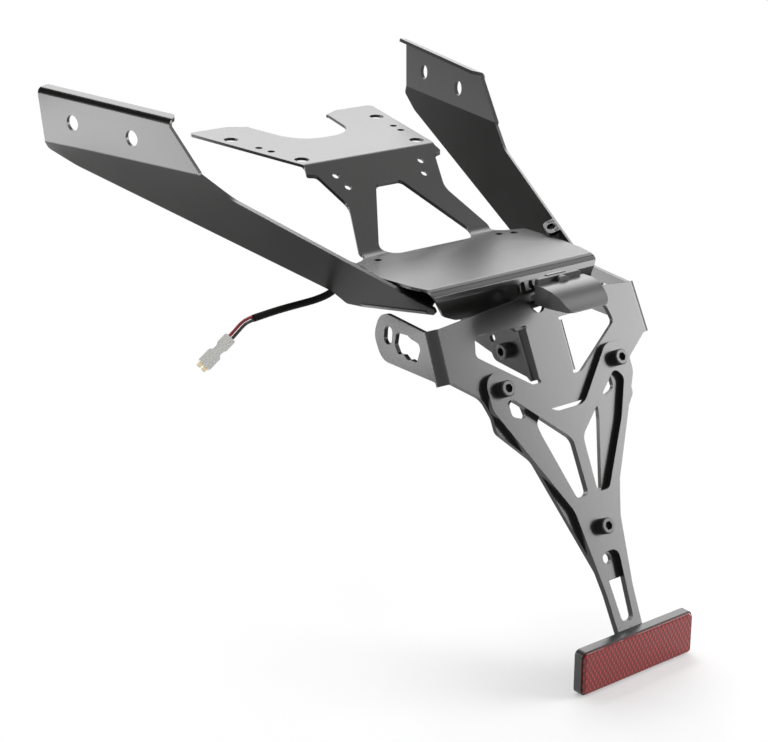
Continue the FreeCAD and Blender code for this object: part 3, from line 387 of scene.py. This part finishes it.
# %% Dress the sheets
sheet_black = skinned("sheet_black", dark=linear(24, 24, 23), light=linear(29, 28, 27),
                      roughness=0.26, drift=0.03, grain=2200.0, bump_mm=0.001, edge_mm=0.3)
SHEETS = ["seat_bracket", "right_arm", "left_arm", "indicator_bracket", "plate_carrier", "hanger_bracket",
          "lamp_bracket"]
sheets = {name: smooth_sheet(name, sheet_black) for name in SHEETS}
print("sheets", {name: len(piece.data.vertices) for name, piece in sheets.items()})

# %% [markdown]
# ## The small eyes on the arms
# Each arm carries a small eye, a tab with a hole, folded in from its upper edge. In the photograph the
# eyes hang down a little and sit nearer the arm's rear end than in the solids, so the copies of the arms
# get theirs turned and slid along the edge. A cut along the root line keeps the arm's own edge straight.

# %% Turn and slide the eyes
EYE_CORNER = Vector((84.285, 47.180, 5.470))
EYE_ALONG = Vector((0.32054, 0.89806, 0.30124))
EYE_OUT = Vector((-0.91082, 0.20489, 0.35836))
EYE_UP = Vector((0.26011, -0.38925, 0.88365))
EYE_LENGTH_MM = 14.0
EYE_SLIDE_MM = -7.0
EYE_TURN = math.radians(45.0)
SHEET_MM = 2.5
CUT_OUTSIDE_MM = 0.05
ROOT_BAND_MM = 0.1
EYE_REACH_MM = 14.0
EYE_MARGIN_MM = 1.0


def turn_eye(name, side):
    """Points of the eye, in its own frame (along, out, up) from the root line, are turned down about that
    line by an angle: out' = out cos + up sin, up' = up cos - out sin. Then they slide along the line."""
    mesh = sheets[name].data
    axes = np.array([EYE_ALONG, EYE_OUT, EYE_UP]) * np.array([side, 1.0, 1.0])
    root = EYE_CORNER + EYE_OUT * SHEET_MM
    start = np.array(row(Vector((root.x * side, root.y, root.z))))
    cut = bmesh.new()
    cut.from_mesh(mesh)
    bmesh.ops.bisect_plane(cut, geom=cut.verts[:] + cut.edges[:] + cut.faces[:], dist=WELD,
                           plane_co=start + axes[1] * CUT_OUTSIDE_MM * MM, plane_no=axes[1])
    cut.to_mesh(mesh)
    cut.free()
    points = np.empty(len(mesh.vertices) * 3)
    mesh.vertices.foreach_get("co", points)
    local = (points.reshape(-1, 3) - start) @ axes.T / MM
    along, out, up = local.T
    in_length = (along > -EYE_MARGIN_MM) & (along < EYE_LENGTH_MM + EYE_MARGIN_MM)
    beside = in_length & (np.abs(up + SHEET_MM / 2) < SHEET_MM)
    root_line = beside & (np.abs(out) < ROOT_BAND_MM)
    free = beside & (out >= ROOT_BAND_MM) & (out < EYE_REACH_MM)
    turned = np.stack([along, out * math.cos(EYE_TURN) + up * math.sin(EYE_TURN),
                       up * math.cos(EYE_TURN) - out * math.sin(EYE_TURN)], axis=1)
    local[free] = turned[free]
    local[free | root_line, 0] += EYE_SLIDE_MM
    mesh.vertices.foreach_set("co", (local @ axes * MM + start).ravel())
    mesh.update()
    print(name, "eye points", int(free.sum()), "root points", int(root_line.sum()))


for name, side in (("right_arm", 1.0), ("left_arm", -1.0)):
    turn_eye(name, side)

# %% [markdown]
# ## Screws, studs and nuts
# The socket screws are blackened and a little oily. The studs and nuts under the platform are zinc
# plated. Their solids already have the right shape, so they stay, and only get a finish. The blackening
# is thin and dark, so it is a plain surface with an uneven sheen, and the zinc is a metal with a fine
# grain.

# %% Dress the fasteners
screw_black = skinned("screw_black", dark=linear(22, 22, 22), light=linear(30, 30, 30),
                      roughness=0.34, drift=0.08, grain=3000.0, bump_mm=0.004)
nut_steel = skinned("nut_steel", dark=linear(150, 150, 146), light=linear(176, 176, 170),
                    roughness=0.34, drift=0.1, grain=1500.0, bump_mm=0.003, settings={"Metallic": 1.0})
screws = [name for name in nodes if "screw" in name]
nuts_and_studs = [name for name in nodes if "nut" in name or name.startswith("stud")]
dress(screws, screw_black)
dress(nuts_and_studs, nut_steel)
print("screws", len(screws), "nuts and studs", len(nuts_and_studs))

# %% [markdown]
# ## Reflector
# The reflector is a red moulding full of small prisms behind a smooth face, in a dark tray. The prisms
# are too small to model, so a pattern of cells tilts the surface and paints their shade into its colour:
# dark red in the grooves between the cells and light red on their tips, a painted shade and highlight.
# A clear coat over it keeps the smooth face.


# %% Build the prism group
PRISM_LEAN = 0.577


def build_prism_cells():
    """Cell height from two crossed sets of ridges, the smaller of two triangle waves, and from it painted
    shade: dark in the grooves, light on the tips.
    """
    group, start, end = new_group("prism cells", {"Pitch": 0.0016}, {"Height": "Float", "Tint": "Float"})
    split = add(group, "SeparateXYZ")
    link = group.links.new
    link(start.outputs["Place"], split.inputs["Vector"])
    waves = []
    for lean in (PRISM_LEAN, -PRISM_LEAN):
        slanted = add(group, "Math", {1: lean}, operation="MULTIPLY")
        summed = add(group, "Math", operation="ADD")
        wave = add(group, "Math", operation="PINGPONG")
        link(split.outputs["Z"], slanted.inputs[0])
        link(slanted.outputs[0], summed.inputs[0])
        link(split.outputs["X"], summed.inputs[1])
        link(summed.outputs[0], wave.inputs[0])
        link(start.outputs["Pitch"], wave.inputs[1])
        waves.append(wave)
    lower = add(group, "Math", operation="MINIMUM")
    # The cell height as a share of the pitch is put out as the prisms' painted shade for the colour.
    share = add(group, "Math", operation="DIVIDE")
    for k, wave in enumerate(waves):
        link(wave.outputs[0], lower.inputs[k])
    link(lower.outputs[0], share.inputs[0])
    link(start.outputs["Pitch"], share.inputs[1])
    link(lower.outputs[0], end.inputs["Height"])
    link(share.outputs[0], end.inputs["Tint"])
    return group


prism_cells = build_prism_cells()
print("prism group nodes", len(prism_cells.nodes))


# %% Make the red moulding
def red_prisms():
    """Red material whose bump follows the prism cells and whose colour is their painted shade, dark red in
    the grooves and light red on the tips, under a smooth clear coat.
    """
    material = bpy.data.materials.new("lens_red")
    material.use_nodes = True
    tree = material.node_tree
    shader = tree.nodes["Principled BSDF"]
    place = add(tree, "TexCoord")
    cells = tree.nodes.new("ShaderNodeGroup")
    cells.node_tree = prism_cells
    # The colour runs from dark red in the cells' grooves to light red on their tips: painted shade and
    # highlight of the prisms.
    shades = add(tree, "ValToRGB")
    shades.color_ramp.elements[0].color = linear(84, 6, 8)
    shades.color_ramp.elements[1].color = linear(172, 24, 27)
    bump = add(tree, "Bump", {"Strength": 0.5, "Distance": 1.0})
    link = tree.links.new
    link(place.outputs["Object"], cells.inputs["Place"])
    link(cells.outputs["Tint"], shades.inputs["Fac"])
    link(shades.outputs["Color"], shader.inputs["Base Color"])
    link(cells.outputs["Height"], bump.inputs["Height"])
    link(bump.outputs["Normal"], shader.inputs["Normal"])
    shader.inputs["Roughness"].default_value = 0.35
    shader.inputs["Specular IOR Level"].default_value = 0.1
    shader.inputs["Coat Weight"].default_value = 1.0
    shader.inputs["Coat Roughness"].default_value = 0.06
    return material


# %% Dress the reflector
dress(["reflector_lens"], red_prisms())
housing_plastic = skinned("housing_plastic", dark=linear(44, 45, 44), light=linear(54, 55, 54),
                          roughness=0.3, drift=0.05, grain=1200.0, bump_mm=0.004,
                          settings={"Specular IOR Level": 0.6})
dress(["reflector_housing"], housing_plastic)

# %% [markdown]
# ## Lamp, clip, cable and connector
# The lamp's hood is a satin dark grey moulding, its lens is clear, and its cover and the clip are black.
# The sleeve is soft black vinyl. The connector is a milky moulding with two pale brass terminals. Milky
# plastic lets a little light into itself, which Subsurface could show, but on a piece this small a pale,
# slightly glossy surface looks the same and renders without noise.

# %% Mix the finishes of the lamp
hood_plastic = skinned("hood_plastic", dark=linear(44, 44, 45), light=linear(52, 52, 53),
                       roughness=0.30, drift=0.04, grain=1500.0, bump_mm=0.003,
                       settings={"Specular IOR Level": 0.7}, edge_mm=0.4)
black_plastic = skinned("black_plastic", dark=linear(26, 26, 26), light=linear(34, 34, 34),
                        roughness=0.4, drift=0.06, grain=1500.0, bump_mm=0.008)
clear_plastic = skinned("clear_plastic", dark=linear(235, 238, 238), light=linear(245, 247, 247),
                        roughness=0.12, drift=0.04, grain=900.0, bump_mm=0.002,
                        settings={"Transmission Weight": 0.85, "IOR": 1.49})
print("lamp finishes", hood_plastic.name, black_plastic.name, clear_plastic.name)

# %% Mix the finishes of the cable
sleeve_vinyl = skinned("sleeve_vinyl", dark=linear(12, 12, 11), light=linear(17, 16, 15),
                       roughness=0.55, drift=0.08, grain=1100.0, bump_mm=0.01,
                       settings={"Specular IOR Level": 0.1})
wire_red = skinned("wire_red", dark=linear(118, 20, 22), light=linear(150, 30, 32),
                   roughness=0.35, drift=0.05, grain=1100.0, bump_mm=0.005)
wire_black = skinned("wire_black", dark=linear(20, 18, 18), light=linear(30, 26, 26),
                     roughness=0.35, drift=0.05, grain=1100.0, bump_mm=0.005)
milky_plastic = skinned("milky_plastic", dark=linear(226, 226, 221), light=linear(234, 233, 229),
                        roughness=0.4, drift=0.05, grain=900.0, bump_mm=0.002)
terminal_brass = skinned("terminal_brass", dark=linear(212, 196, 158), light=linear(228, 214, 182),
                         roughness=0.35, drift=0.06, grain=1800.0, bump_mm=0.003,
                         settings={"Metallic": 1.0})
print("cable finishes", sleeve_vinyl.name, wire_red.name, wire_black.name, milky_plastic.name,
      terminal_brass.name)

# %% Dress the lamp and the cable
smooth_sheet("lamp_hood", hood_plastic)
dress(["lamp_cover", "cable_clip"], black_plastic)
dress(["lamp_lens"], clear_plastic)
dress(["lamp_cable"], sleeve_vinyl)
dress(["connector_body"], milky_plastic)
dress(["connector_terminals"], terminal_brass)
sleeve.data.materials.append(sleeve_vinyl)
wires["red"].data.materials.append(wire_red)
wires["black"].data.materials.append(wire_black)
print("materials", len(bpy.data.materials))

# %% [markdown]
# ## Floor
# The object stands on a pale floor, in front of white. Lighting the floor until it is white would also
# light the object too much. So the floor is white paper whose own white takes over with the distance from
# the reflector, and the shadow under the object stays and fades out softly.

# %% Lay the floor
FLOOR_GAP = 0.0004
FLOOR_HALF = 6.0

floor_z = solid_box[0][2] - FLOOR_GAP
corners = np.array([[-1, -1], [1, -1], [1, 1], [-1, 1]]) * FLOOR_HALF
floor_mesh = bpy.data.meshes.new("floor")
floor_mesh.from_pydata([(x, y, floor_z) for x, y in corners.tolist()], [], [(0, 1, 2, 3)])
floor = bpy.data.objects.new("floor", floor_mesh)
bpy.context.scene.collection.objects.link(floor)
print("floor height", round(floor_z, 4))


# %% Tell what is seen from what lights the object
def seen_directly(tree):
    """Node whose output is 1 for what the camera, a reflection or clear plastic shows, and 0 for light."""
    rays = add(tree, "LightPath")
    first = add(tree, "Math", operation="MAXIMUM")
    either = add(tree, "Math", operation="MAXIMUM")
    tree.links.new(rays.outputs["Is Camera Ray"], first.inputs[0])
    tree.links.new(rays.outputs["Is Glossy Ray"], first.inputs[1])
    tree.links.new(first.outputs[0], either.inputs[0])
    tree.links.new(rays.outputs["Is Transmission Ray"], either.inputs[1])
    return either


# %% Give the floor its white paper
GLOW_NEAR = 0.3
GLOW_REACH = (0.05, 0.32)
SHADOW_AT = (-0.02, -0.31)

paper = bpy.data.materials.new("paper")
paper.use_nodes = True
tree = paper.node_tree
shader = tree.nodes["Principled BSDF"]
shader.inputs["Base Color"].default_value = linear(244, 244, 244)
shader.inputs["Roughness"].default_value = 0.9
glow = add(tree, "Emission", {"Color": (1.0, 1.0, 1.0, 1.0), "Strength": 1.0})
part = add(tree, "Math", operation="MULTIPLY")
place = add(tree, "TexCoord")
centred = add(tree, "Mapping", {"Location": (-SHADOW_AT[0], -SHADOW_AT[1], -floor_z)})
away = add(tree, "VectorMath", operation="LENGTH")
white_share = add(tree, "MapRange", {"From Min": GLOW_REACH[0], "From Max": GLOW_REACH[1],
                                     "To Min": GLOW_NEAR, "To Max": 1.0}, interpolation_type="SMOOTHSTEP")
mix = add(tree, "MixShader")
link = tree.links.new
link(seen_directly(tree).outputs[0], part.inputs[0])
link(place.outputs["Object"], centred.inputs["Vector"])
link(centred.outputs["Vector"], away.inputs[0])
link(away.outputs["Value"], white_share.inputs["Value"])
link(white_share.outputs["Result"], part.inputs[1])
link(part.outputs[0], mix.inputs["Fac"])
link(shader.outputs[0], mix.inputs[1])
link(glow.outputs[0], mix.inputs[2])
link(mix.outputs[0], tree.nodes["Material Output"].inputs["Surface"])
floor_mesh.materials.append(paper)
print("the floor's own white grows from", GLOW_REACH[0], "to", GLOW_REACH[1], "m from the shadow's middle")

# %% [markdown]
# ## Sky
# The sky looks white to the camera and in reflections, as the studio round the object was, but lights the
# object dimly. With one strength for both, the black would be washed out or the background would be grey.

# %% Light the sky
SKY_LIGHT = 0.36

world = bpy.data.worlds.new("studio")
world.use_nodes = True
bpy.context.scene.world = world
tree = world.node_tree
dim = tree.nodes["Background"]
dim.inputs["Color"].default_value = (1.0, 1.0, 1.0, 1.0)
dim.inputs["Strength"].default_value = SKY_LIGHT
bright = add(tree, "Background", {"Color": (1.0, 1.0, 1.0, 1.0), "Strength": 1.0})
mix = add(tree, "MixShader")
link = tree.links.new
link(seen_directly(tree).outputs[0], mix.inputs["Fac"])
link(dim.outputs[0], mix.inputs[1])
link(bright.outputs[0], mix.inputs[2])
link(mix.outputs[0], tree.nodes["World Output"].inputs["Surface"])
print("sky light", SKY_LIGHT)

# %% [markdown]
# ## Lamps
# A satin black sheet shows hardly any colour of its own: what it shows is its mirror image of the lamps,
# spread by the coating. So each soft panel stands where a mirror in place of a bright face would show it.
# One large lamp could light the whole object, but then no face could be made darker or brighter than its
# neighbour.


# %% Aim a lamp or a card
def compass(heading, rise):
    """Direction from two angles in degrees: heading turns clockwise from +Y seen from above, rise is up."""
    turn, lift = math.radians(heading), math.radians(rise)
    return Vector((math.sin(turn) * math.cos(lift), math.cos(turn) * math.cos(lift), math.sin(lift)))


def face_back(thing, aim, way, distance, shift=(0.0, 0.0), roll=0.0):
    """Puts a lamp or card at a distance from a point, turned to it, shifted and rolled in its plane."""
    turn = way.to_track_quat("Z", "Y")
    thing.location = Vector(aim) + way * distance + turn @ Vector((*shift, 0.0))
    thing.rotation_euler = (turn @ Quaternion((0.0, 0.0, 1.0), math.radians(roll))).to_euler()
    bpy.context.scene.collection.objects.link(thing)


print("a heading of 90 is", [round(part, 3) for part in compass(90, 0)])


# %% Stand the soft panels
def panel(name, aim, way, distance, width, height, radiance, **place):
    """Area lamp that faces a point. Its power is its radiance times its area times pi."""
    light = bpy.data.lights.new(name, "AREA")
    light.shape = "RECTANGLE"
    light.size = width
    light.size_y = height
    light.energy = radiance * width * height * math.pi
    lamp = bpy.data.objects.new(name, light)
    lamp.visible_camera = False
    face_back(lamp, aim, way, distance, **place)
    print(name, "power", round(light.energy, 2))


panel("panel_top", aim=(-0.14, 0.10, 0.02), way=compass(38, 70), distance=1.3,
      width=0.45, height=0.45, radiance=11.0)
panel("panel_behind", aim=(0.0, -0.20, -0.13), way=compass(130, 15), distance=1.5,
      width=0.80, height=0.80, radiance=11.0, shift=(0.13, -0.08), roll=-12.0)
panel("panel_low", aim=(0.0, -0.10, -0.03), way=compass(44, 10), distance=1.9,
      width=1.2, height=0.36, radiance=1.0)
panel("panel_ahead", aim=(0.0, -0.10, -0.03), way=compass(32, 32), distance=1.8,
      width=2.2, height=0.93, radiance=3.0)
panel("panel_right", aim=(0.0, -0.16, -0.05), way=compass(112, 42), distance=1.5,
      width=0.70, height=0.45, radiance=2.4)
panel("panel_left", aim=(-0.12, 0.0, -0.03), way=compass(-50, -14), distance=0.33,
      width=0.18, height=0.24, radiance=7.5, shift=(0.01, 0.0), roll=20.0)
panel("panel_low_left", aim=(0.080, -0.175, -0.065), way=compass(-38, -19), distance=0.22,
      width=0.09, height=0.08, radiance=6.0)
panel("panel_left_far", aim=(-0.12, 0.0, -0.03), way=compass(-50, -14), distance=0.33,
      width=0.13, height=0.14, radiance=8.0, shift=(-0.21, 0.01))

# %% [markdown]
# ## Cards
# The seat's slopes and the lower faces mirror the white sky and floor, and would be too bright. In a
# photographer's studio a dark card held beside the object takes that white away. Here it is a flat sheet
# that only reflections see, so that it neither shades the object nor shows in the picture.


# %% Stand the cards
def card(name, aim, way, distance, half, radiance, **place):
    """Flat card of two half sizes that only reflections see, as bright as its radiance says."""
    board = bpy.data.meshes.new(name)
    flat = np.array([[-1, -1, 0], [1, -1, 0], [1, 1, 0], [-1, 1, 0]]) * np.array([*half, 0.0])
    board.from_pydata(flat.tolist(), [], [(0, 1, 2, 3)])
    thing = bpy.data.objects.new(name, board)
    face_back(thing, aim, way, distance, **place)
    thing.visible_camera = False
    thing.visible_diffuse = False
    thing.visible_shadow = False
    thing.visible_transmission = False
    felt = bpy.data.materials.new(name)
    felt.use_nodes = True
    shader = felt.node_tree.nodes["Principled BSDF"]
    shader.inputs["Base Color"].default_value = linear(18, 18, 18)
    shader.inputs["Roughness"].default_value = 1.0
    shader.inputs["Emission Color"].default_value = (1.0, 1.0, 1.0, 1.0)
    shader.inputs["Emission Strength"].default_value = radiance
    board.materials.append(felt)
    print(name, "at", [round(part, 3) for part in thing.location])


card("dark_card", aim=(0.0, 0.0, 0.0), way=compass(-30, 40), distance=1.2,
     half=(0.79, 1.0), radiance=0.0, shift=(0.165, -0.25))
card("grey_card", aim=(-0.12, 0.01, -0.025), way=compass(-40, -40), distance=0.22,
     half=(0.07, 0.13), radiance=0.35, roll=24.0)

# %% Finish
bpy.context.scene.view_settings.view_transform = "Standard"
bpy.context.view_layer.update()
